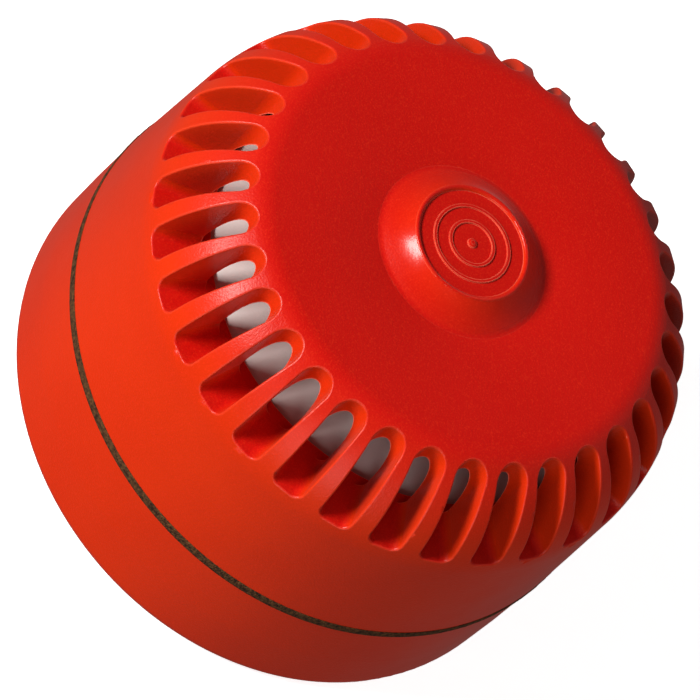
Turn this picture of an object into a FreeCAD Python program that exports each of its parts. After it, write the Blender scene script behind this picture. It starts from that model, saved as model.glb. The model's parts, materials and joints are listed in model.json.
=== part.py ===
import FreeCAD, Part
import math
import os

"""Wall-mounted alarm siren: a twist-off sounder head on a shallow round base.

Units are millimetres. The origin is the centre of the back face, which lies on the wall.
+Z points out of the wall, towards the face of the siren.
"""

# ---------------------------------------------------------------- driving dimensions
DEPTH = 63.0
DIAMETER = 93.0
WALL = 2.5

BASE_HEIGHT = 21.0
SEAL_HEIGHT = 1.4
COVER_FOOT = BASE_HEIGHT + SEAL_HEIGHT
OUTER_R = DIAMETER / 2.0
PARTING_R = 46.3
SEAL_OUTER_R = 46.2
BACK_EDGE_R = 2.0

SIDE_TOP = (45.2, 43.0)
SHOULDER_MIDDLE = (41.4, 54.3)
SHOULDER_END = (35.0, 60.1)
CREST_ROUND = 6.3
CREST_SLOPE = 1.0
FOOT_SLOPE = 8.0

BOSS_FOOT_R = 14.2
BOSS_FLANK_R = 13.2
BOSS_FLANK_RISE = 0.36
BOSS_RIM_R = 9.2
BOSS_RECESS_R = 8.75
BOSS_RECESS_Z = 62.5

SLOT_COUNT = 33
SLOT_INNER_R = 34.4
SLOT_WIDTH = 5.0
SLOT_OUTER_WIDTH = 5.3
SLOT_FLOOR_Z = 46.3
SLOT_FLOOR_ROUND = 1.5
SLOT_EDGE_ROUND = 0.3
LEDGE_THICK = 2.3
LEDGE_INNER_R = 35.1
WINDOW_TOP_Z = 57.2

CHASSIS_R = 43.3
CHASSIS_Z = 24.0
CHASSIS_THICK = 2.0
SPIGOT_OUTER_R = 41.2
SPIGOT_INNER_R = 39.0
LUG_Z = 12.7
LUG_THICK = 2.0
LUG_OUTER_R = 43.6
LUG_SPAN = 16.0
HOOK_GAP = 0.3
HOOK_SPAN = 20.0
HOOK_INNER_R = 41.6
BAYONET_TURN = 20.0
BAYONET_AZIMUTHS = (90.0, 210.0, 330.0)

BOARD_Z = 28.0
BOARD_THICK = 1.6
BOARD_R = 29.0
BOARD_SCREW_R = 25.0
BOARD_SCREW_AZIMUTHS = (35.0, 145.0, 270.0)

COVER_SCREW_R = 36.0
COVER_SCREW_AZIMUTHS = (30.0, 150.0, 270.0)

FIXING_SPACING = 60.0
FIXING_SLOT_LENGTH = 9.0
FIXING_SLOT_WIDTH = 4.5

ENTRY_HOLE_R = 11.0
CABLE_BORE_R = 4.5
KNOCKOUT_R = 8.0
KNOCKOUT_AZIMUTH = 40.0

TERMINAL_R = 32.0
CONTACT_R = 27.0
TERMINAL_AZIMUTHS = (213.0, 238.0, 302.0, 327.0)
CARRIER_SPAN = 150.0
CARRIER_TOP_Z = 9.0
CONTACT_PLANE_Z = 12.6

DIP_WAYS = 5
DIP_PITCH = 2.54
DIP_CENTRE = (-8.0, 13.0)
DIP_FACE_Z = 21.6
DIP_TRAVEL = 1.6

POT_CENTRE = (12.0, 12.0)
POT_R = 3.6
POT_ROTOR_R = 2.0
POT_CLEARANCE = 0.05
POT_FACE_Z = 21.6


# ---------------------------------------------------------------- helpers
def vec(x, y, z):
    return FreeCAD.Vector(x, y, z)


def revolved(outline):
    """Turns a closed outline about Z. Each entry is (r, z), or (mid, end) for an arc."""
    start = vec(outline[0][0], 0, outline[0][1])
    here = start
    edges = []
    for step in outline[1:]:
        if isinstance(step[0], tuple):
            middle = vec(step[0][0], 0, step[0][1])
            end = vec(step[1][0], 0, step[1][1])
            edges.append(Part.Arc(here, middle, end).toShape())
        else:
            end = vec(step[0], 0, step[1])
            edges.append(Part.makeLine(here, end))
        here = end
    if here.distanceToPoint(start) > 1e-6:
        edges.append(Part.makeLine(here, start))
    face = Part.Face(Part.Wire(edges))
    return face.revolve(vec(0, 0, 0), vec(0, 0, 1), 360)


def cylinder(radius, z_low, z_high, x=0.0, y=0.0):
    return Part.makeCylinder(radius, z_high - z_low, vec(x, y, z_low))


def ring(inner, outer, z_low, z_high, x=0.0, y=0.0):
    return cylinder(outer, z_low, z_high, x, y).cut(cylinder(inner, z_low - 1, z_high + 1, x, y))


def block(x_size, y_size, z_low, z_high, x=0.0, y=0.0):
    corner = vec(x - x_size / 2.0, y - y_size / 2.0, z_low)
    return Part.makeBox(x_size, y_size, z_high - z_low, corner)


def sector(inner, outer, z_low, z_high, azimuth, span):
    """A piece of a ring, centred on an azimuth, both in degrees."""
    start = azimuth - span / 2.0
    big = Part.makeCylinder(outer, z_high - z_low, vec(0, 0, z_low), vec(0, 0, 1), span)
    big.rotate(vec(0, 0, 0), vec(0, 0, 1), start)
    return big.cut(cylinder(inner, z_low - 1, z_high + 1))


def polar(radius, azimuth):
    angle = math.radians(azimuth)
    return radius * math.cos(angle), radius * math.sin(angle)


def turned(shape, azimuth):
    copy = shape.copy()
    copy.rotate(vec(0, 0, 0), vec(0, 0, 1), azimuth)
    return copy


def stadium(length, width, z_low, z_high):
    """A slot with round ends, along X, centred on the Z axis."""
    half = (length - width) / 2.0
    body = block(length - width, width, z_low, z_high)
    for x in (-half, half):
        body = body.fuse(cylinder(width / 2.0, z_low, z_high, x, 0))
    return body.removeSplitter()


def screw(head_r, head_height, shank_r, z_head_top, z_tip, point_up=False):
    """A cross-recessed screw on the Z axis. point_up puts the head at the bottom."""
    length = z_head_top - z_tip
    head = cylinder(head_r, z_head_top - head_height, z_head_top)
    rim = [edge for edge in head.Edges if abs(edge.BoundBox.ZMin - z_head_top) < 1e-6]
    head = head.makeFillet(head_height * 0.4, rim)
    shank = cylinder(shank_r, z_tip + shank_r, z_head_top - head_height)
    tip = Part.makeCone(shank_r * 0.3, shank_r, shank_r, vec(0, 0, z_tip))
    body = head.fuse([shank, tip]).removeSplitter()
    recess = head_height * 0.55
    for azimuth in (0, 90):
        bar = block(head_r * 1.3, head_r * 0.3, z_head_top - recess, z_head_top + 1)
        body = body.cut(turned(bar, azimuth))
    if point_up:
        body.rotate(vec(0, 0, z_tip + length / 2.0), vec(1, 0, 0), 180)
    return body


def placed(shape, x, y):
    copy = shape.copy()
    copy.translate(vec(x, y, 0))
    return copy


def save(name, *solids):
    os.makedirs("parts", exist_ok=True)
    shape = solids[0] if len(solids) == 1 else Part.makeCompound(list(solids))
    shape.exportStep("parts/" + name + ".step")
    print(name, "solids", len(shape.Solids), "valid", shape.isValid(), "volume", round(shape.Volume, 1))


# ---------------------------------------------------------------- base
def carrier_screw_places():
    """One screw near each end of the terminal carrier."""
    ends = (TERMINAL_AZIMUTHS[0] - 10.0, TERMINAL_AZIMUTHS[-1] + 10.0)
    return [polar(CONTACT_R - 1.0, azimuth) for azimuth in ends]


def base_shell():
    inner_r = OUTER_R - WALL
    corner = BACK_EDGE_R * (1 - math.sqrt(0.5))
    shell = revolved([
        (0, 0),
        (OUTER_R - BACK_EDGE_R, 0),
        ((OUTER_R - corner, corner), (OUTER_R, BACK_EDGE_R)),
        (OUTER_R, BASE_HEIGHT / 2.0),
        (PARTING_R, BASE_HEIGHT),
        (inner_r, BASE_HEIGHT),
        (inner_r, WALL),
        (0, WALL),
    ])
    for azimuth in BAYONET_AZIMUTHS:
        lug_edge = LUG_SPAN / 2.0
        hook_z = LUG_Z + LUG_THICK + HOOK_GAP
        hook = sector(HOOK_INNER_R, inner_r + 0.5, hook_z, hook_z + 2.2, azimuth, HOOK_SPAN)
        stop = sector(HOOK_INNER_R, inner_r + 0.5, WALL - 0.5, hook_z + 2.2, azimuth - lug_edge - 1.7, 2.0)
        end = azimuth + BAYONET_TURN + lug_edge + 1.7
        end_stop = sector(HOOK_INNER_R, inner_r + 0.5, WALL - 0.5, hook_z + 2.2, end, 2.0)
        shell = shell.fuse([hook, stop, end_stop])
    for x, y in carrier_screw_places():
        shell = shell.fuse(cylinder(3.0, WALL - 0.5, WALL + 3.0, x, y))
        shell = shell.cut(cylinder(1.1, WALL - 1.0, WALL + 4.0, x, y))
    shell = shell.removeSplitter()
    for azimuth in (0, 90, 180, 270):
        slot = stadium(FIXING_SLOT_LENGTH, FIXING_SLOT_WIDTH, -1, WALL + 1)
        slot.translate(vec(FIXING_SPACING / 2.0, 0, 0))
        shell = shell.cut(turned(slot, azimuth))
    shell = shell.cut(cylinder(ENTRY_HOLE_R, -1, WALL + 1))
    # side knockout for surface conduit: a thinned disc on the inside of the wall
    knockout = Part.makeCylinder(KNOCKOUT_R, 1.3, vec(inner_r - 0.2, 0, 11.5), vec(1, 0, 0))
    return shell.cut(turned(knockout, KNOCKOUT_AZIMUTH))


def seal_ring():
    band = revolved([
        (43.4, BASE_HEIGHT),
        (SEAL_OUTER_R - 0.2, BASE_HEIGHT),
        ((SEAL_OUTER_R, BASE_HEIGHT + SEAL_HEIGHT / 2.0), (SEAL_OUTER_R - 0.2, COVER_FOOT)),
        (43.4, COVER_FOOT),
    ])
    return band


def cable_grommet():
    return revolved([
        (CABLE_BORE_R, 0.3),
        (ENTRY_HOLE_R - 0.05, 0.3),
        (ENTRY_HOLE_R - 0.05, WALL),
        (ENTRY_HOLE_R + 1.8, WALL),
        (ENTRY_HOLE_R + 1.8, WALL + 1.2),
        (CABLE_BORE_R + 3.5, WALL + 1.2),
        (CABLE_BORE_R + 1.2, WALL + 3.5),
        (CABLE_BORE_R, WALL + 3.5),
    ])


def terminal_carrier():
    carrier = sector(22.5, 37.5, WALL + 3.0, CARRIER_TOP_Z, 270, CARRIER_SPAN)
    carrier = carrier.cut(block(11.0, 12.5, 0, CARRIER_TOP_Z + 1, 0, -FIXING_SPACING / 2.0))
    for azimuth in TERMINAL_AZIMUTHS:
        rib = sector(29.0, 37.5, CARRIER_TOP_Z - 0.5, CARRIER_TOP_Z + 2.5, azimuth + 7.5, 2.0)
        other = sector(29.0, 37.5, CARRIER_TOP_Z - 0.5, CARRIER_TOP_Z + 2.5, azimuth - 7.5, 2.0)
        carrier = carrier.fuse([rib, other])
        x, y = polar(TERMINAL_R, azimuth)
        carrier = carrier.cut(cylinder(1.3, WALL + 3.5, CARRIER_TOP_Z + 3, x, y))
    for x, y in carrier_screw_places():
        carrier = carrier.cut(cylinder(1.4, WALL + 2.0, CARRIER_TOP_Z + 1, x, y))
        carrier = carrier.cut(cylinder(2.9, CARRIER_TOP_Z - 2.5, CARRIER_TOP_Z + 1, x, y))
    return carrier.removeSplitter()


def carrier_screws():
    solids = []
    for x, y in carrier_screw_places():
        one = screw(2.6, 1.6, 1.05, CARRIER_TOP_Z - 0.9, WALL - 0.8)
        solids.append(placed(one, x, y))
    return solids


def contact_spring():
    """A leaf that arches from under the terminal screw to the contact point, along X."""
    thick = 0.4
    top = CONTACT_PLANE_Z
    foot_z = CARRIER_TOP_Z
    crown_x = CONTACT_R
    outline = [
        vec(TERMINAL_R + 3.0, 0, foot_z),
        vec(TERMINAL_R - 2.8, 0, foot_z),
        vec(crown_x, 0, top - thick),
        vec(crown_x - 3.2, 0, foot_z + 0.1),
    ]
    upper = [
        vec(crown_x - 3.6, 0, foot_z + 0.3),
        vec(crown_x, 0, top),
        vec(TERMINAL_R - 2.6, 0, foot_z + thick),
        vec(TERMINAL_R + 3.0, 0, foot_z + thick),
    ]
    wire = Part.makePolygon(outline + upper + outline[:1])
    leaf = Part.Face(wire).extrude(vec(0, 3.6, 0))
    leaf.translate(vec(0, -1.8, 0))
    return leaf.cut(cylinder(1.35, 0, CARRIER_TOP_Z + 5, TERMINAL_R, 0))


def terminal_clamp():
    plate = block(5.0, 5.0, CARRIER_TOP_Z + 0.4, CARRIER_TOP_Z + 1.2, TERMINAL_R, 0)
    return plate.cut(cylinder(1.35, 0, CARRIER_TOP_Z + 5, TERMINAL_R, 0))


def terminal_screw():
    one = screw(2.2, 1.2, 1.25, CARRIER_TOP_Z + 2.4, WALL + 4.0)
    return placed(one, TERMINAL_R, 0)


def at_terminals(shape):
    return [turned(shape, azimuth) for azimuth in TERMINAL_AZIMUTHS]


# ---------------------------------------------------------------- head: cover
def slot_cutter():
    """One sound outlet: a straight trough along +X with a round inner end and a rounded floor."""
    half_in = SLOT_WIDTH / 2.0
    half_out = SLOT_OUTER_WIDTH / 2.0
    far = OUTER_R + 4.0
    centre_r = SLOT_INNER_R + half_in
    edges = [
        Part.makeLine(vec(far, -half_out, 0), vec(far, half_out, 0)),
        Part.makeLine(vec(far, half_out, 0), vec(centre_r, half_in, 0)),
        Part.Arc(vec(centre_r, half_in, 0), vec(SLOT_INNER_R, 0, 0), vec(centre_r, -half_in, 0)).toShape(),
        Part.makeLine(vec(centre_r, -half_in, 0), vec(far, -half_out, 0)),
    ]
    trough = Part.Face(Part.Wire(edges)).extrude(vec(0, 0, DEPTH - SLOT_FLOOR_Z + 3))
    trough.translate(vec(0, 0, SLOT_FLOOR_Z))
    floor_edges = []
    for edge in trough.Edges:
        box = edge.BoundBox
        on_floor = abs(box.ZMax - SLOT_FLOOR_Z) < 1e-6
        if on_floor and box.XMin < far - 1:
            floor_edges.append(edge)
    return trough.makeFillet(SLOT_FLOOR_ROUND, floor_edges)


def circle_through(first, second, third):
    """Centre and radius of the circle through three (r, z) points."""
    circle = Part.Circle(vec(*first, 0), vec(*second, 0), vec(*third, 0))
    return (circle.Center.x, circle.Center.y), circle.Radius


SHOULDER_CENTRE, SHOULDER_R = circle_through(SIDE_TOP, SHOULDER_MIDDLE, SHOULDER_END)
CREST_START = math.atan2(SHOULDER_END[1] - SHOULDER_CENTRE[1], SHOULDER_END[0] - SHOULDER_CENTRE[0])
CREST_CENTRE = (
    SHOULDER_END[0] - CREST_ROUND * math.cos(CREST_START),
    SHOULDER_END[1] - CREST_ROUND * math.sin(CREST_START),
)


def on_crest(angle):
    """A point of the crest's round at an angle in radians, where 90 degrees is its highest."""
    return (
        CREST_CENTRE[0] + CREST_ROUND * math.cos(angle),
        CREST_CENTRE[1] + CREST_ROUND * math.sin(angle),
    )


def cover_blank():
    lip = COVER_FOOT
    inner_r = PARTING_R - WALL
    ledge_low = SLOT_FLOOR_Z - LEDGE_THICK
    crest_slope = math.radians(CREST_SLOPE)
    foot_slope = math.radians(FOOT_SLOPE)
    crest_end = on_crest(math.pi / 2.0 + crest_slope)
    crest_middle = on_crest((CREST_START + math.pi / 2.0 + crest_slope) / 2.0)
    face_r = (crest_end[0] - BOSS_FOOT_R) / (math.sin(foot_slope) - math.sin(crest_slope))
    face_centre = (crest_end[0] + face_r * math.sin(crest_slope), crest_end[1] - face_r * math.cos(crest_slope))
    half_slope = (crest_slope + foot_slope) / 2.0
    face_middle = (face_centre[0] - face_r * math.sin(half_slope), face_centre[1] + face_r * math.cos(half_slope))
    foot_z = face_centre[1] + face_r * math.cos(foot_slope)
    flank_z = foot_z + BOSS_FLANK_RISE
    return revolved([
        (inner_r, lip),
        (PARTING_R, lip),
        ((45.8, 32.0), SIDE_TOP),
        (SHOULDER_MIDDLE, SHOULDER_END),
        (crest_middle, crest_end),
        (face_middle, (BOSS_FOOT_R, foot_z)),
        ((BOSS_FOOT_R - 0.45, foot_z + 0.08), (BOSS_FLANK_R, flank_z)),
        ((11.28, (flank_z + DEPTH - 0.25) / 2.0 - 0.16), (BOSS_RIM_R + 0.4, DEPTH - 0.25)),
        ((BOSS_RIM_R + 0.27, DEPTH - 0.06), (BOSS_RIM_R, DEPTH)),
        ((BOSS_RIM_R - 0.27, DEPTH - 0.12), (BOSS_RECESS_R, BOSS_RECESS_Z)),
        (0, BOSS_RECESS_Z),
        (0, BOSS_RECESS_Z - WALL),
        (8.0, BOSS_RECESS_Z - WALL),
        (11.0, WINDOW_TOP_Z + 0.6),
        (31.0, WINDOW_TOP_Z + 1.2),
        ((33.2, WINDOW_TOP_Z + 0.8), (SLOT_INNER_R, WINDOW_TOP_Z)),
        ((36.0, 51.9), (36.8, SLOT_FLOOR_Z)),
        (LEDGE_INNER_R, SLOT_FLOOR_Z),
        (LEDGE_INNER_R, ledge_low),
        (inner_r - 0.9, ledge_low),
    ])


def slot_rims(cover):
    """The sharp edges where the slots break through the shoulder."""
    rims = []
    for edge in cover.Edges:
        middle = edge.valueAt((edge.FirstParameter + edge.LastParameter) / 2.0)
        radius = math.hypot(middle.x, middle.y)
        from_shoulder = math.hypot(radius - SHOULDER_CENTRE[0], middle.z - SHOULDER_CENTRE[1]) - SHOULDER_R
        from_crest = math.hypot(radius - CREST_CENTRE[0], middle.z - CREST_CENTRE[1]) - CREST_ROUND
        outside = min(abs(from_shoulder), abs(from_crest)) < 0.02
        full_circle = edge.BoundBox.XLength > 20 and edge.BoundBox.YLength > 20
        seam = edge.Length > 3 and abs(middle.y) < 1e-6
        join = abs(middle.z - SHOULDER_END[1]) < 1e-4
        in_slots = middle.z > SLOT_FLOOR_Z - 0.05 and radius > SLOT_INNER_R - 0.05
        if outside and in_slots and not full_circle and not seam and not join:
            rims.append(edge)
    return rims


def front_cover():
    cover = cover_blank()
    for azimuth in COVER_SCREW_AZIMUTHS:
        x, y = polar(COVER_SCREW_R, azimuth)
        post = cylinder(3.0, CHASSIS_Z + CHASSIS_THICK, SLOT_FLOOR_Z - LEDGE_THICK + 0.2, x, y)
        cover = cover.fuse(post)
        cover = cover.cut(cylinder(1.2, CHASSIS_Z, 38.0, x, y))
    for radius in (3.6, 6.2):
        raised = ring(radius - 0.25, radius + 0.25, BOSS_RECESS_Z - 0.3, BOSS_RECESS_Z + 0.22)
        cover = cover.fuse(raised)
    gate = cylinder(0.75, BOSS_RECESS_Z - 0.3, BOSS_RECESS_Z + 0.2)
    gate = gate.fuse(Part.makeCone(0.75, 0.35, 0.2, vec(0, 0, BOSS_RECESS_Z + 0.2)))
    cover = cover.fuse(gate).removeSplitter()
    pitch = 360.0 / SLOT_COUNT
    cutter = slot_cutter()
    cover = cover.cut([turned(cutter, pitch * k) for k in range(SLOT_COUNT)])
    return cover.makeFillet(SLOT_EDGE_ROUND, slot_rims(cover))


# ---------------------------------------------------------------- head: works
def chassis():
    plate = cylinder(CHASSIS_R, CHASSIS_Z, CHASSIS_Z + CHASSIS_THICK)
    spigot = ring(SPIGOT_INNER_R, SPIGOT_OUTER_R, LUG_Z, CHASSIS_Z + 0.5)
    body = plate.fuse(spigot)
    for azimuth in BAYONET_AZIMUTHS:
        body = body.fuse(sector(SPIGOT_INNER_R + 1.0, LUG_OUTER_R, LUG_Z, LUG_Z + LUG_THICK, azimuth, LUG_SPAN))
    for azimuth in BOARD_SCREW_AZIMUTHS:
        x, y = polar(BOARD_SCREW_R, azimuth)
        body = body.fuse(cylinder(2.6, CHASSIS_Z + 0.5, BOARD_Z, x, y))
        body = body.cut(cylinder(0.95, CHASSIS_Z + 0.8, BOARD_Z + 1, x, y))
    for azimuth in COVER_SCREW_AZIMUTHS:
        x, y = polar(COVER_SCREW_R, azimuth)
        body = body.cut(cylinder(1.6, 0, BOARD_Z, x, y))
    body = body.cut(block(DIP_WAYS * DIP_PITCH + 2.4, 8.4, 0, BOARD_Z, *DIP_CENTRE))
    body = body.cut(cylinder(POT_R + 0.6, 0, BOARD_Z, *POT_CENTRE))
    for azimuth in TERMINAL_AZIMUTHS:
        x, y = polar(CONTACT_R, azimuth)
        body = body.cut(cylinder(1.7, 0, BOARD_Z, x, y))
    return body.removeSplitter()


def chassis_screws():
    solids = []
    for azimuth in COVER_SCREW_AZIMUTHS:
        x, y = polar(COVER_SCREW_R, azimuth)
        one = screw(2.7, 1.6, 1.15, 36.0, 22.4, point_up=True)
        solids.append(placed(one, x, y))
    return solids


def sound_horn():
    """White moulding under the slots: a dome with a central throat, on a skirt down to the chassis."""
    rim_low = SLOT_FLOOR_Z - 1.9
    body = revolved([
        (34.7, rim_low),
        (34.7, rim_low + 0.8),
        ((25.0, 49.9), (14.0, 52.2)),
        ((9.0, 52.6), (6.0, 54.0)),
        (4.6, 54.0),
        (4.6, 48.6),
        (17.2, 48.6),
        (17.2, 45.0),
        (19.0, 45.0),
        (19.0, 48.8),
        ((26.0, 47.6), (31.0, rim_low)),
        (31.0, CHASSIS_Z + CHASSIS_THICK),
        (32.4, CHASSIS_Z + CHASSIS_THICK),
        (32.4, rim_low),
    ])
    return body


def piezo_disc():
    return cylinder(17.0, 46.9, 47.2)


def piezo_ceramic():
    return cylinder(12.5, 46.6, 46.9)


def piezo_retainer():
    clamp = ring(14.5, 17.1, 45.2, 46.9)
    return clamp.cut(block(4.0, 40.0, 45.0, 46.4))


def lead(x, y_top, y_board):
    """One insulated lead from the ceramic down to the board, with a gentle double bend."""
    radius = 0.5
    bend = 3.0
    top = vec(x, y_top, 46.6)
    upper = vec(x, y_top, 42.0)
    lower = vec(x, y_board, 34.0)
    bottom = vec(x, y_board, BOARD_Z + BOARD_THICK)
    slope = (lower - upper).normalize()
    down = vec(0, 0, -1)
    turn = math.acos(max(-1.0, min(1.0, slope.dot(down))))
    cut_back = bend * math.tan(turn / 2.0)
    first_in = upper - down * cut_back
    first_out = upper + slope * cut_back
    second_in = lower - slope * cut_back
    second_out = lower + down * cut_back
    inward = (slope - down * slope.dot(down)).normalize()
    first_centre = first_in + inward * bend
    second_centre = second_out - inward * bend
    first_mid = first_centre + (upper - first_centre).normalize() * bend
    second_mid = second_centre + (lower - second_centre).normalize() * bend
    path = Part.Wire([
        Part.makeLine(top, first_in),
        Part.Arc(first_in, first_mid, first_out).toShape(),
        Part.makeLine(first_out, second_in),
        Part.Arc(second_in, second_mid, second_out).toShape(),
        Part.makeLine(second_out, bottom),
    ])
    section = Part.Wire(Part.makeCircle(radius, top, down))
    return path.makePipeShell([section], True, True)


def piezo_leads():
    return [lead(-3.0, -6.0, -12.0), lead(3.0, -6.0, -12.0)]


def circuit_board():
    board = cylinder(BOARD_R, BOARD_Z, BOARD_Z + BOARD_THICK)
    for azimuth in BOARD_SCREW_AZIMUTHS:
        x, y = polar(BOARD_SCREW_R, azimuth)
        board = board.cut(cylinder(1.2, BOARD_Z - 1, BOARD_Z + 3, x, y))
    return board


def board_screws():
    solids = []
    top = BOARD_Z + BOARD_THICK
    for azimuth in BOARD_SCREW_AZIMUTHS:
        x, y = polar(BOARD_SCREW_R, azimuth)
        solids.append(placed(screw(2.0, 1.2, 0.9, top + 1.2, CHASSIS_Z + 1.4), x, y))
    return solids


def inductor_core():
    """Drum core of the step-up inductor: two flanges on a centre post."""
    low = BOARD_Z + BOARD_THICK
    return revolved([
        (0, low),
        (6.0, low),
        (6.0, low + 1.4),
        (2.6, low + 1.4),
        (2.6, low + 8.2),
        (6.0, low + 8.2),
        (6.0, low + 9.6),
        (0, low + 9.6),
    ])


def inductor_winding():
    low = BOARD_Z + BOARD_THICK
    return ring(2.6, 5.4, low + 1.4, low + 8.2)


def capacitor(x, y, radius, height):
    low = BOARD_Z + BOARD_THICK
    can = cylinder(radius, low, low + height, x, y)
    rims = [edge for edge in can.Edges if abs(edge.BoundBox.ZMin - low - height) < 1e-6]
    return can.makeFillet(0.5, rims)


def capacitors():
    places = ((15.5, 8.5, 4.0, 10.5), (17.0, -3.5, 3.2, 8.0), (-16.5, 9.0, 3.2, 8.0))
    return [capacitor(*place) for place in places]


def chips():
    low = BOARD_Z + BOARD_THICK
    places = ((-15.5, -6.0, 6.0, 8.6), (12.0, -15.0, 4.0, 5.0))
    return [block(x_size, y_size, low, low + 1.7, x, y) for x, y, x_size, y_size in places]


def small_components():
    low = BOARD_Z + BOARD_THICK
    solids = []
    for row in range(3):
        for column in range(3):
            solids.append(block(2.0, 1.25, low, low + 0.7, -10.0 + 4.0 * column, -16.5 - 2.6 * row))
    for step in range(2):
        solids.append(block(4.4, 2.6, low, low + 2.1, -2.0 + 8.0 * step, 17.5))
    return solids


def dip_switch_body():
    length = DIP_WAYS * DIP_PITCH + 1.2
    body = block(length, 6.4, DIP_FACE_Z, BOARD_Z, *DIP_CENTRE)
    for way in range(DIP_WAYS):
        x, y = slider_place(way)
        slot = block(1.5, 1.4 + DIP_TRAVEL + 0.4, DIP_FACE_Z - 1, DIP_FACE_Z + 1.6, x, y + DIP_TRAVEL / 2.0)
        body = body.cut(slot)
    return body


def slider_place(way):
    x = DIP_CENTRE[0] + (way - (DIP_WAYS - 1) / 2.0) * DIP_PITCH
    y = DIP_CENTRE[1] - DIP_TRAVEL / 2.0
    return x, y


def dip_slider(way):
    x, y = slider_place(way)
    return block(1.3, 1.4, DIP_FACE_Z - 0.7, DIP_FACE_Z + 1.5, x, y)


def volume_pot_body():
    x, y = POT_CENTRE
    can = cylinder(POT_R, POT_FACE_Z, BOARD_Z, x, y)
    return can.cut(cylinder(POT_ROTOR_R + POT_CLEARANCE, POT_FACE_Z - 1, POT_FACE_Z + 3.0, x, y))


def volume_rotor():
    x, y = POT_CENTRE
    rotor = cylinder(POT_ROTOR_R, POT_FACE_Z - 0.5, POT_FACE_Z + 2.8, x, y)
    return rotor.cut(block(0.7, 3.0, POT_FACE_Z - 1.5, POT_FACE_Z + 0.4, x, y))


def contact_pin():
    """Brass pin that stands down from the board onto a contact spring."""
    low = CONTACT_PLANE_Z + 0.3
    pin = revolved([
        (0, low),
        ((0.85, low + 0.35), (1.2, low + 1.2)),
        (1.2, BOARD_Z - 1.2),
        (1.9, BOARD_Z - 1.2),
        (1.9, BOARD_Z),
        (0, BOARD_Z),
    ])
    return placed(pin, CONTACT_R, 0)


# ---------------------------------------------------------------- every node
def build():
    save("base_shell", base_shell())
    save("seal_ring", seal_ring())
    save("cable_grommet", cable_grommet())
    save("terminal_carrier", terminal_carrier())
    save("carrier_screws", *carrier_screws())
    save("contact_springs", *at_terminals(contact_spring()))
    save("terminal_clamps", *at_terminals(terminal_clamp()))
    save("terminal_screws", *at_terminals(terminal_screw()))
    save("front_cover", front_cover())
    save("chassis", chassis())
    save("chassis_screws", *chassis_screws())
    save("sound_horn", sound_horn())
    save("piezo_disc", piezo_disc())
    save("piezo_ceramic", piezo_ceramic())
    save("piezo_retainer", piezo_retainer())
    save("piezo_leads", *piezo_leads())
    save("circuit_board", circuit_board())
    save("board_screws", *board_screws())
    save("inductor_core", inductor_core())
    save("inductor_winding", inductor_winding())
    save("capacitors", *capacitors())
    save("chips", *chips())
    save("small_components", *small_components())
    save("contact_pins", *at_terminals(contact_pin()))
    save("dip_switch_body", dip_switch_body())
    for way in range(DIP_WAYS):
        save("dip_slider_" + str(way + 1), dip_slider(way))
    save("volume_pot_body", volume_pot_body())
    save("volume_rotor", volume_rotor())


build()
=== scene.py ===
import json
import math

import bmesh
import bpy
from mathutils import Matrix, Vector, noise


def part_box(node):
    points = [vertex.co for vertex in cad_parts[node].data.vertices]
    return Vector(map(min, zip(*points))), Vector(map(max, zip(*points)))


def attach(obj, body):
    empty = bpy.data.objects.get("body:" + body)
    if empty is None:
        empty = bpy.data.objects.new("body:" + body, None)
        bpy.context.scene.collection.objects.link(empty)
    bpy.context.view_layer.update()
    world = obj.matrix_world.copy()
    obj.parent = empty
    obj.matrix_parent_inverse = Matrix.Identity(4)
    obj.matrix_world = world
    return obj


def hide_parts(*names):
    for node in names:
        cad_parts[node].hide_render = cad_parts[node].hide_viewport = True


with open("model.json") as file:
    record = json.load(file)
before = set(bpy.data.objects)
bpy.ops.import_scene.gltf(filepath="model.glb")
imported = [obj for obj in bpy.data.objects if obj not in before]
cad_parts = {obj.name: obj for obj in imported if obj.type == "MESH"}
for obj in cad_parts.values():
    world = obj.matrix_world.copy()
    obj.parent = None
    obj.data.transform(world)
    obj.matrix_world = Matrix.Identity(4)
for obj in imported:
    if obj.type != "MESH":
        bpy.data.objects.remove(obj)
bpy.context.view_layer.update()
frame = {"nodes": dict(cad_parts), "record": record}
MM = 0.001

# The siren's own sizes, read from the frame.
COVER_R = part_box("front_cover")[1].x
TOP_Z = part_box("front_cover")[1].z
seal_low, seal_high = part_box("seal_ring")

# The boss in the middle of the face: where its polish starts to fade, where it has gone, and its depth.
POLISH_FULL_R = 11.6 * MM
POLISH_NONE_R = 13.8 * MM
BOSS_DEPTH = 3.4 * MM

# The seal: its radial width, how far it laps over each shell's edge, and how far its face swells out.
SEAL_WIDTH = 2.4 * MM
SEAL_LAP = 0.2 * MM
SEAL_SWELL = 0.15 * MM

# The inductor's winding: rows of wire from top to bottom, and the radial depth that they fill.
WINDING_TURNS = 17
WINDING_DEPTH = 2.75 * MM

# Centre x, centre y, width and length of each chip that gets legs, in millimetres.
CHIPS = ((-15.5, -6.0, 6.0, 8.6), (12.0, -15.0, 4.0, 5.0))
LEG_PITCH = 1.27
LEG_WIDTH = 0.42
# One leg from the chip outward: reach from its side, height, length and thickness, in millimetres.
LEG_PARTS = ((0.25, 0.75, 0.5, 0.2), (0.5, 0.42, 0.2, 0.7), (0.9, 0.1, 0.7, 0.2))

# ------------------------------------------------------------------ camera
LENS_MM = 257.14
CAMERA_TILT = math.radians(37.8)
CAMERA_AZIMUTH = math.radians(2.136)
CAMERA_ROLL = math.radians(48.8)
CAMERA_PLACE = Vector((17.6, -472.3, 632.7)) * MM


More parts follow.
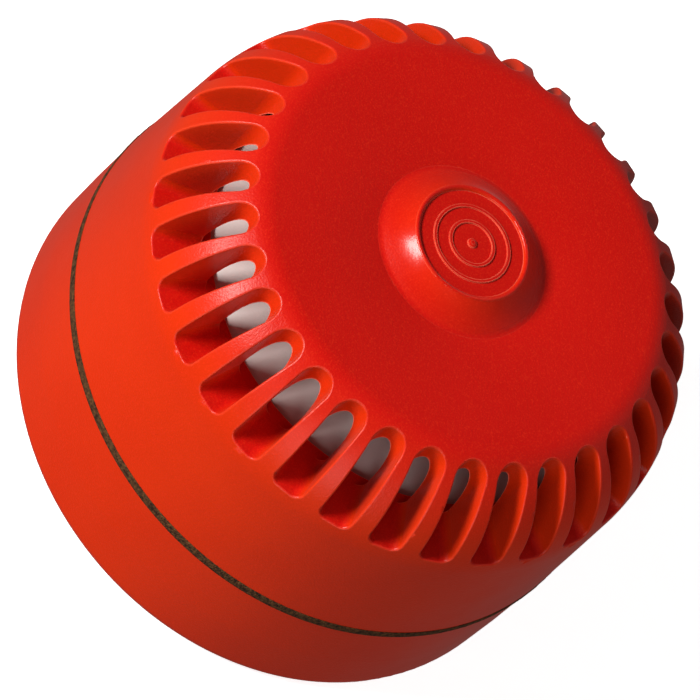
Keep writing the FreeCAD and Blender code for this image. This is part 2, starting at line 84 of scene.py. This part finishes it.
def make_camera():
    """A long lens looking down at the siren from the front, rolled to one side."""
    data = bpy.data.cameras.new("camera")
    data.lens = LENS_MM
    data.sensor_width = 36.0
    data.clip_start = 0.01
    camera = bpy.data.objects.new("camera", data)
    turn = (
        Matrix.Rotation(CAMERA_AZIMUTH, 4, "Z")
        @ Matrix.Rotation(CAMERA_TILT, 4, "X")
        @ Matrix.Rotation(CAMERA_ROLL, 4, "Z")
    )
    camera.matrix_world = Matrix.Translation(CAMERA_PLACE) @ turn
    bpy.context.scene.collection.objects.link(camera)
    bpy.context.scene.camera = camera


# ------------------------------------------------------------------ light and floor
def area_light(name, azimuth, elevation, distance, width, height, power, colour=(1, 1, 1), gloss=True):
    """A soft light aimed at the siren, in degrees and metres. Without gloss it makes no reflection."""
    data = bpy.data.lights.new(name, "AREA")
    data.shape = "RECTANGLE"
    data.size = width
    data.size_y = height
    data.energy = power
    data.color = colour
    lamp = bpy.data.objects.new(name, data)
    flat = math.cos(math.radians(elevation))
    direction = Vector((
        flat * math.cos(math.radians(azimuth)),
        flat * math.sin(math.radians(azimuth)),
        math.sin(math.radians(elevation)),
    ))
    target = Vector((0, 0, TOP_Z * 0.6))
    lamp.location = target + direction * distance
    lamp.rotation_euler = direction.to_track_quat("Z", "Y").to_euler()
    lamp.visible_glossy = gloss
    bpy.context.scene.collection.objects.link(lamp)


def make_light():
    """A dim even room, a small warm key, a low broad fill and a weak light from the far side."""
    world = bpy.data.worlds.new("studio")
    world.use_nodes = True
    background = world.node_tree.nodes["Background"]
    background.inputs["Color"].default_value = (1.0, 0.985, 0.97, 1)
    background.inputs["Strength"].default_value = 0.10
    bpy.context.scene.world = world
    area_light("key_light", 220, 33, 0.9, 0.38, 0.18, 10.6, (1.0, 0.98, 0.95))
    area_light("fill_light", 292, 12, 1.1, 0.7, 0.7, 4.4)
    area_light("far_light", 45, 22, 1.1, 0.8, 0.8, 1.8, gloss=False)
    bpy.context.scene.view_settings.view_transform = "Standard"
    bpy.context.scene.view_settings.look = "None"


def make_floor():
    """A pale paper sheet that glows a little, and that throws no light or reflection on the siren."""
    mesh = bpy.data.meshes.new("floor")
    half = 3.0
    mesh.from_pydata(
        [(-half, -half, 0), (half, -half, 0), (half, half, 0), (-half, half, 0)], [], [(0, 1, 2, 3)]
    )
    floor = bpy.data.objects.new("floor", mesh)
    floor.location.z = -0.0002
    bpy.context.scene.collection.objects.link(floor)
    material, nodes, links, shader = new_material("floor_paper")
    grain = add_noise(nodes, links, 220.0, 3.0)
    tint = add_ramp(nodes, links, grain.outputs["Fac"], (0.90, 0.90, 0.90), (0.94, 0.94, 0.935))
    links.new(tint.outputs["Color"], shader.inputs["Base Color"])
    shader.inputs["Roughness"].default_value = 0.9
    shader.inputs["Specular IOR Level"].default_value = 0.1
    shader.inputs["Emission Color"].default_value = (1, 1, 1, 1)
    shader.inputs["Emission Strength"].default_value = 0.80
    mesh.materials.append(material)
    floor.visible_diffuse = False
    floor.visible_glossy = False


# ------------------------------------------------------------------ material helpers
def new_material(name):
    """A node material, with its nodes, its links and its main shader."""
    material = bpy.data.materials.new(name)
    material.use_nodes = True
    nodes, links = material.node_tree.nodes, material.node_tree.links
    return material, nodes, links, nodes["Principled BSDF"]


def add_noise(nodes, links, scale, detail=2.0, roughness=0.5):
    """A noise texture fixed to the object."""
    place = nodes.get("Texture Coordinate") or nodes.new("ShaderNodeTexCoord")
    texture = nodes.new("ShaderNodeTexNoise")
    texture.inputs["Scale"].default_value = scale
    texture.inputs["Detail"].default_value = detail
    texture.inputs["Roughness"].default_value = roughness
    links.new(place.outputs["Object"], texture.inputs["Vector"])
    return texture


def add_ramp(nodes, links, source, low, high, start=0.3, end=0.7):
    """A colour that runs from low to high as the source runs from start to end."""
    ramp = nodes.new("ShaderNodeValToRGB")
    ramp.color_ramp.elements[0].position = start
    ramp.color_ramp.elements[1].position = end
    ramp.color_ramp.elements[0].color = (*low, 1)
    ramp.color_ramp.elements[1].color = (*high, 1)
    links.new(source, ramp.inputs["Fac"])
    return ramp


def add_range(nodes, links, source, low, high, start=0.3, end=0.7):
    """A number that runs from low to high as the source runs from start to end."""
    span = nodes.new("ShaderNodeMapRange")
    span.inputs["From Min"].default_value = start
    span.inputs["From Max"].default_value = end
    span.inputs["To Min"].default_value = low
    span.inputs["To Max"].default_value = high
    links.new(source, span.inputs["Value"])
    return span


def add_math(nodes, links, operation, *terms):
    """A Math node of node outputs and plain numbers."""
    result = nodes.new("ShaderNodeMath")
    result.operation = operation
    for socket, term in zip(result.inputs, terms):
        if isinstance(term, float):
            socket.default_value = term
        else:
            links.new(term, socket)
    return result.outputs["Value"]


def add_bumps(nodes, links, shader, layers):
    """Stacks bump layers. Each is (texture output, strength, height in metres)."""
    previous = None
    for height, strength, distance in layers:
        bump = nodes.new("ShaderNodeBump")
        bump.inputs["Strength"].default_value = strength
        bump.inputs["Distance"].default_value = distance
        links.new(height, bump.inputs["Height"])
        if previous:
            links.new(previous.outputs["Normal"], bump.inputs["Normal"])
        previous = bump
    links.new(previous.outputs["Normal"], shader.inputs["Normal"])


def edge_mask(nodes, links, radius, start=0.004, end=0.10):
    """1 along sharp edges, 0 on smooth surfaces: where a bevelled normal leaves the true one."""
    bevel = nodes.new("ShaderNodeBevel")
    bevel.samples = 4
    bevel.inputs["Radius"].default_value = radius
    geometry = nodes.new("ShaderNodeNewGeometry")
    dot = nodes.new("ShaderNodeVectorMath")
    dot.operation = "DOT_PRODUCT"
    links.new(bevel.outputs["Normal"], dot.inputs[0])
    links.new(geometry.outputs["Normal"], dot.inputs[1])
    return add_range(nodes, links, dot.outputs["Value"], 1.0, 0.0, 1.0 - end, 1.0 - start)


def mix_colour(nodes, links, factor, first, second):
    """Blends a colour output towards a second one, or towards a plain colour, by a factor output."""
    mix = nodes.new("ShaderNodeMix")
    mix.data_type = "RGBA"
    links.new(factor, mix.inputs["Factor"])
    links.new(first, mix.inputs[6])
    if isinstance(second, tuple):
        mix.inputs[7].default_value = (*second, 1)
    else:
        links.new(second, mix.inputs[7])
    return mix.outputs[2]


def boss_mask(nodes, links):
    """1 over the polished boss in the middle of the face, 0 elsewhere."""
    place = nodes.get("Texture Coordinate") or nodes.new("ShaderNodeTexCoord")
    split = nodes.new("ShaderNodeSeparateXYZ")
    links.new(place.outputs["Object"], split.inputs["Vector"])
    flat = nodes.new("ShaderNodeCombineXYZ")
    links.new(split.outputs["X"], flat.inputs["X"])
    links.new(split.outputs["Y"], flat.inputs["Y"])
    radius = nodes.new("ShaderNodeVectorMath")
    radius.operation = "LENGTH"
    links.new(flat.outputs["Vector"], radius.inputs[0])
    near = add_range(nodes, links, radius.outputs["Value"], 1.0, 0.0, POLISH_FULL_R, POLISH_NONE_R)
    foot = TOP_Z - BOSS_DEPTH
    high = add_range(nodes, links, split.outputs["Z"], 0.0, 1.0, foot - 0.4 * MM, foot)
    return add_math(nodes, links, "MULTIPLY", near.outputs["Result"], high.outputs["Result"])


def red_colour_and_painted_light(nodes, links):
    """Red with mottle: the side walls are painted lighter and more orange than the deeper crimson face, a
    painted light set by which way the surface faces, and bright specks are partly the grain's tone and
    partly painted sparkle.
    """
    mottle = add_noise(nodes, links, 45.0, 4.0)
    # Painted light: the side walls get a lighter, more orange red than the face.
    wall = add_ramp(nodes, links, mottle.outputs["Fac"], (0.61, 0.024, 0.0012), (0.66, 0.029, 0.0016))
    face = add_ramp(nodes, links, mottle.outputs["Fac"], (0.57, 0.0050, 0.0025), (0.61, 0.0065, 0.0035))
    geometry = nodes.new("ShaderNodeNewGeometry")
    split = nodes.new("ShaderNodeSeparateXYZ")
    links.new(geometry.outputs["Normal"], split.inputs["Vector"])
    # Painted light: the colour runs from the lit-looking walls to the face by which way the surface faces.
    painted_wall_light_mix = add_range(nodes, links, split.outputs["Z"], 0.0, 1.0, 0.35, 0.97)
    body = mix_colour(nodes, links, painted_wall_light_mix.outputs["Result"], wall.outputs["Color"], face.outputs["Color"])
    # Bright specks: partly the grain's own tone, partly a painted sparkle of light off the grain.
    speck = add_noise(nodes, links, 3700.0, 1.0)
    speck_and_sparkle = add_range(nodes, links, speck.outputs["Fac"], 0.0, 0.50, 0.50, 0.78)
    return mix_colour(nodes, links, speck_and_sparkle.outputs["Result"], body, (0.78, 0.030, 0.008))


def painted_edge_highlights(nodes, links):
    """The mask of the painted edge highlights: 1 along the sharp edges, fading in patches, and 0
    elsewhere.
    """
    edge_highlight_mask = edge_mask(nodes, links, 0.22 * MM)
    patch = add_noise(nodes, links, 300.0, 3.0)
    patchy = add_range(nodes, links, patch.outputs["Fac"], 0.45, 1.0)
    return add_math(nodes, links, "MULTIPLY", edge_highlight_mask.outputs["Result"], patchy.outputs["Result"])


def textured_red():
    """Moulded plastic with a fine spark-eroded grain, painted highlights along its sharp edges and a
    smoother boss.
    """
    material, nodes, links, shader = new_material("red_moulded_plastic")
    polish = boss_mask(nodes, links)
    edge_highlight = painted_edge_highlights(nodes, links)
    # Painted highlight: the sharp edges are mixed towards a pale pinkish red.
    colour = mix_colour(nodes, links, edge_highlight, red_colour_and_painted_light(nodes, links), (0.95, 0.20, 0.12))
    links.new(colour, shader.inputs["Base Color"])
    gloss = add_noise(nodes, links, 120.0, 3.0)
    rough = add_range(nodes, links, gloss.outputs["Fac"], 0.30, 0.38)
    glossy = add_math(nodes, links, "MAXIMUM", polish, edge_highlight)
    smoother = add_math(nodes, links, "MULTIPLY_ADD", glossy, -0.13, rough.outputs["Result"])
    links.new(smoother, shader.inputs["Roughness"])
    shader.inputs["IOR"].default_value = 1.45
    shader.inputs["Specular IOR Level"].default_value = 0.28
    shader.inputs["Sheen Weight"].default_value = 0.06
    shader.inputs["Sheen Roughness"].default_value = 0.35
    grain = add_noise(nodes, links, 3600.0, 2.0)
    peel = add_noise(nodes, links, 1100.0, 2.0)
    unpolished = add_range(nodes, links, polish, 1.0, 0.15, 0.0, 1.0)
    fine = add_math(nodes, links, "MULTIPLY", grain.outputs["Fac"], unpolished.outputs["Result"])
    add_bumps(nodes, links, shader, [(peel.outputs["Fac"], 0.25, 0.00006), (fine, 0.6, 0.00008)])
    return material


def moulded(name, low, high, rough_low, rough_high, grain_scale=3000.0, grain=0.15):
    """A plain moulding in another colour, with mottle, gloss variation and painted highlights along its
    edges.
    """
    material, nodes, links, shader = new_material(name)
    mottle = add_noise(nodes, links, 60.0, 4.0)
    body = add_ramp(nodes, links, mottle.outputs["Fac"], low, high)
    edge_highlight_mask = edge_mask(nodes, links, 0.2 * MM)
    # Painted highlight: the edges are lightened from the mottle's high colour.
    edge_highlight_colour = tuple(min(1.0, channel * 1.25 + 0.02) for channel in high)
    colour = mix_colour(nodes, links, edge_highlight_mask.outputs["Result"], body.outputs["Color"], edge_highlight_colour)
    links.new(colour, shader.inputs["Base Color"])
    gloss = add_noise(nodes, links, 150.0, 3.0)
    rough = add_range(nodes, links, gloss.outputs["Fac"], rough_low, rough_high)
    links.new(rough.outputs["Result"], shader.inputs["Roughness"])
    fine = add_noise(nodes, links, grain_scale, 2.0)
    add_bumps(nodes, links, shader, [(fine.outputs["Fac"], grain, 0.00004)])
    return material


def metal(name, low, high, rough_low, rough_high):
    """Bare or plated metal with mottle and fine scratches drawn out along the siren's axis."""
    material, nodes, links, shader = new_material(name)
    shader.inputs["Metallic"].default_value = 1.0
    mottle = add_noise(nodes, links, 200.0, 5.0)
    body = add_ramp(nodes, links, mottle.outputs["Fac"], low, high)
    links.new(body.outputs["Color"], shader.inputs["Base Color"])
    place = nodes["Texture Coordinate"]
    stretch = nodes.new("ShaderNodeMapping")
    stretch.inputs["Scale"].default_value = (1.0, 1.0, 0.08)
    links.new(place.outputs["Object"], stretch.inputs["Vector"])
    scratch = add_noise(nodes, links, 900.0, 4.0, 0.7)
    links.new(stretch.outputs["Vector"], scratch.inputs["Vector"])
    rough = add_range(nodes, links, scratch.outputs["Fac"], rough_low, rough_high)
    links.new(rough.outputs["Result"], shader.inputs["Roughness"])
    add_bumps(nodes, links, shader, [(scratch.outputs["Fac"], 0.12, 0.00003)])
    return material


def foam_rubber():
    """Dark brown cellular rubber: matt, mottled from near black to tan, and pitted with pores."""
    material, nodes, links, shader = new_material("brown_cellular_rubber")
    pores = nodes.new("ShaderNodeTexVoronoi")
    pores.inputs["Scale"].default_value = 2600.0
    place = nodes.new("ShaderNodeTexCoord")
    links.new(place.outputs["Object"], pores.inputs["Vector"])
    mottle = add_noise(nodes, links, 1500.0, 4.0, 0.7)
    dark, pale = (0.016, 0.006, 0.002), (0.16, 0.068, 0.020)
    body = add_ramp(nodes, links, mottle.outputs["Fac"], dark, pale, 0.36, 0.74)
    links.new(body.outputs["Color"], shader.inputs["Base Color"])
    shader.inputs["Specular IOR Level"].default_value = 0.25
    rough = add_range(nodes, links, mottle.outputs["Fac"], 0.8, 0.98)
    links.new(rough.outputs["Result"], shader.inputs["Roughness"])
    add_bumps(nodes, links, shader, [
        (pores.outputs["Distance"], 0.8, 0.00018),
        (mottle.outputs["Fac"], 0.6, 0.00012),
    ])
    return material


def laminate():
    """Circuit board: green solder mask with the weave of its glass base showing through."""
    material, nodes, links, shader = new_material("green_laminate")
    place = nodes.new("ShaderNodeTexCoord")
    weave = nodes.new("ShaderNodeTexBrick")
    weave.inputs["Scale"].default_value = 320.0
    weave.inputs["Mortar Size"].default_value = 0.16
    weave.inputs["Color1"].default_value = (0.008, 0.10, 0.035, 1)
    weave.inputs["Color2"].default_value = (0.010, 0.12, 0.040, 1)
    weave.inputs["Mortar"].default_value = (0.025, 0.22, 0.08, 1)
    links.new(place.outputs["Object"], weave.inputs["Vector"])
    links.new(weave.outputs["Color"], shader.inputs["Base Color"])
    gloss = add_noise(nodes, links, 250.0, 3.0)
    rough = add_range(nodes, links, gloss.outputs["Fac"], 0.22, 0.36)
    links.new(rough.outputs["Result"], shader.inputs["Roughness"])
    add_bumps(nodes, links, shader, [(weave.outputs["Fac"], 0.2, 0.00003)])
    return material


def make_materials():
    """One material for each material slot of the record."""
    return {
        "red_plastic": textured_red(),
        "brown_seal": foam_rubber(),
        "black_rubber": moulded(
            "black_rubber", (0.012, 0.012, 0.012), (0.025, 0.024, 0.023), 0.6, 0.8, 1800, 0.4
        ),
        "grey_plastic": moulded("grey_moulding", (0.27, 0.27, 0.28), (0.34, 0.34, 0.35), 0.42, 0.58),
        "white_plastic": moulded("white_moulding", (0.50, 0.43, 0.41), (0.56, 0.49, 0.47), 0.42, 0.55),
        "zinc_steel": metal("zinc_plated_steel", (0.50, 0.50, 0.47), (0.66, 0.66, 0.63), 0.25, 0.45),
        "spring_bronze": metal("spring_bronze", (0.62, 0.36, 0.17), (0.76, 0.47, 0.24), 0.22, 0.38),
        "brass": metal("brass", (0.68, 0.47, 0.18), (0.80, 0.59, 0.26), 0.22, 0.40),
        "copper_wire": metal("enamelled_copper", (0.50, 0.19, 0.08), (0.68, 0.29, 0.13), 0.18, 0.30),
        "piezo_ceramic": moulded(
            "silvered_ceramic", (0.58, 0.57, 0.52), (0.70, 0.69, 0.64), 0.35, 0.50, 2200, 0.3
        ),
        "lead_insulation": moulded(
            "lead_insulation", (0.40, 0.012, 0.010), (0.50, 0.020, 0.014), 0.30, 0.42
        ),
        "green_laminate": laminate(),
        "ferrite": moulded(
            "sintered_ferrite", (0.030, 0.030, 0.034), (0.055, 0.055, 0.060), 0.55, 0.75, 1500, 0.5
        ),
        "capacitor_sleeve": moulded(
            "capacitor_sleeve", (0.008, 0.010, 0.030), (0.014, 0.017, 0.048), 0.20, 0.32
        ),
        "chip_epoxy": moulded(
            "chip_epoxy", (0.018, 0.018, 0.019), (0.032, 0.032, 0.033), 0.50, 0.66, 1600, 0.4
        ),
        "switch_blue": moulded("switch_blue", (0.015, 0.060, 0.260), (0.022, 0.085, 0.340), 0.30, 0.42),
    }


def dress_nodes(materials):
    """Gives every CAD node the finish of its slot."""
    for entry in frame["record"]["subparts"]:
        node = frame["nodes"][entry["node"]]
        node.data.materials.clear()
        node.data.materials.append(materials[entry["material_slot"]])


# ------------------------------------------------------------------ detailed pieces
def add_piece(name, mesh, material, body, slot, *nodes):
    """Links a finished mesh as a piece that rides on a body and stands for CAD nodes."""
    mesh.materials.append(material)
    for face in mesh.polygons:
        face.use_smooth = True
    piece = bpy.data.objects.new(name, mesh)
    bpy.context.scene.collection.objects.link(piece)
    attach(piece, body)
    if nodes:
        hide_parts(*nodes)
    return piece


def ring_mesh(name, section, steps, centre=(0.0, 0.0), wobble=None):
    """Turns a closed (r, z) section about a vertical axis; wobble moves each point if given."""
    count = len(section)
    points = []
    for k in range(steps):
        angle = 2 * math.pi * k / steps
        for radius, height in section:
            point = Vector((radius * math.cos(angle), radius * math.sin(angle), height))
            if wobble:
                point = wobble(point, radius)
            points.append((point.x + centre[0], point.y + centre[1], point.z))
    faces = []
    for k in range(steps):
        here, there = k * count, (k + 1) % steps * count
        for i in range(count):
            j = (i + 1) % count
            faces.append((here + i, there + i, there + j, here + j))
    mesh = bpy.data.meshes.new(name)
    mesh.from_pydata(points, [], faces)
    mesh.validate()
    return mesh


def make_seal(materials):
    """The cellular rubber band: squeezed between the shells, so it bulges over both their edges."""
    low, high = seal_low.z, seal_high.z
    inner = seal_high.x - SEAL_WIDTH
    tucked = COVER_R - 0.05 * MM
    wall = COVER_R + 0.03 * MM
    section = [(inner, high), (inner, low), (tucked, low), (wall, low - SEAL_LAP)]
    steps = 10
    for k in range(steps + 1):
        share = k / steps
        swell = SEAL_SWELL * (1 - (2 * share - 1) ** 4)
        section.append((wall + 0.01 * MM + swell, low - SEAL_LAP + share * (high - low + 2 * SEAL_LAP)))
    section += [(wall, high + SEAL_LAP), (tucked, high)]

    def torn(point, radius):
        """Sinks the swollen face unevenly, as cut foam is; the rest of the section stays put."""
        if radius < wall + 0.06 * MM:
            return point
        cell = noise.noise(point * 2200.0) + 0.6 * noise.noise(point * 900.0)
        sunk = 0.05 * MM * min(1.0, cell) - 0.05 * MM
        flat = Vector((point.x, point.y, 0)).normalized()
        return point + flat * sunk

    mesh = ring_mesh("seal_foam", section, 1600, wobble=torn)
    add_piece("seal_foam", mesh, materials["brown_seal"], "base", "brown_seal", "seal_ring")


def make_winding(materials):
    """The inductor's winding as close rows of round wire instead of a plain sleeve."""
    low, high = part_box("inductor_winding")
    centre = ((low.x + high.x) / 2, (low.y + high.y) / 2)
    outer = (high.x - low.x) / 2
    inner = outer - WINDING_DEPTH
    pitch = (high.z - low.z) / WINDING_TURNS
    section = [(inner, high.z), (inner, low.z)]
    arc_steps = 6
    for turn in range(WINDING_TURNS):
        for step in range(arc_steps + 1):
            angle = -math.pi / 2 + math.pi * step / arc_steps
            radius = outer - pitch / 2 + pitch / 2 * math.cos(angle)
            height = low.z + pitch * (turn + 0.5) + pitch / 2 * math.sin(angle)
            if step or not turn:
                section.append((radius, height))
    mesh = ring_mesh("winding_turns", section, 96, centre)
    add_piece("winding_turns", mesh, materials["copper_wire"], "head", "copper_wire", "inductor_winding")


def make_chip_leads(materials):
    """Rows of bent legs down both long sides of each chip."""
    board_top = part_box("circuit_board")[1].z
    bm = bmesh.new()
    for x, y, width, length in CHIPS:
        legs = int(length // LEG_PITCH)
        for side in (-1, 1):
            edge = (x + side * width / 2) * MM
            for leg in range(legs):
                leg_y = (y + (leg - (legs - 1) / 2) * LEG_PITCH) * MM
                for reach, height, run, tall in LEG_PARTS:
                    centre = Vector((edge + side * reach * MM, leg_y, board_top + height * MM))
                    scale = Matrix.Diagonal((run * MM, LEG_WIDTH * MM, tall * MM, 1))
                    bmesh.ops.create_cube(bm, size=1.0, matrix=Matrix.Translation(centre) @ scale)
    mesh = bpy.data.meshes.new("chip_leads")
    bm.to_mesh(mesh)
    bm.free()
    add_piece("chip_leads", mesh, materials["zinc_steel"], "head", "zinc_steel")


make_camera()
make_light()
make_floor()
finishes = make_materials()
dress_nodes(finishes)
make_seal(finishes)
make_winding(finishes)
make_chip_leads(finishes)
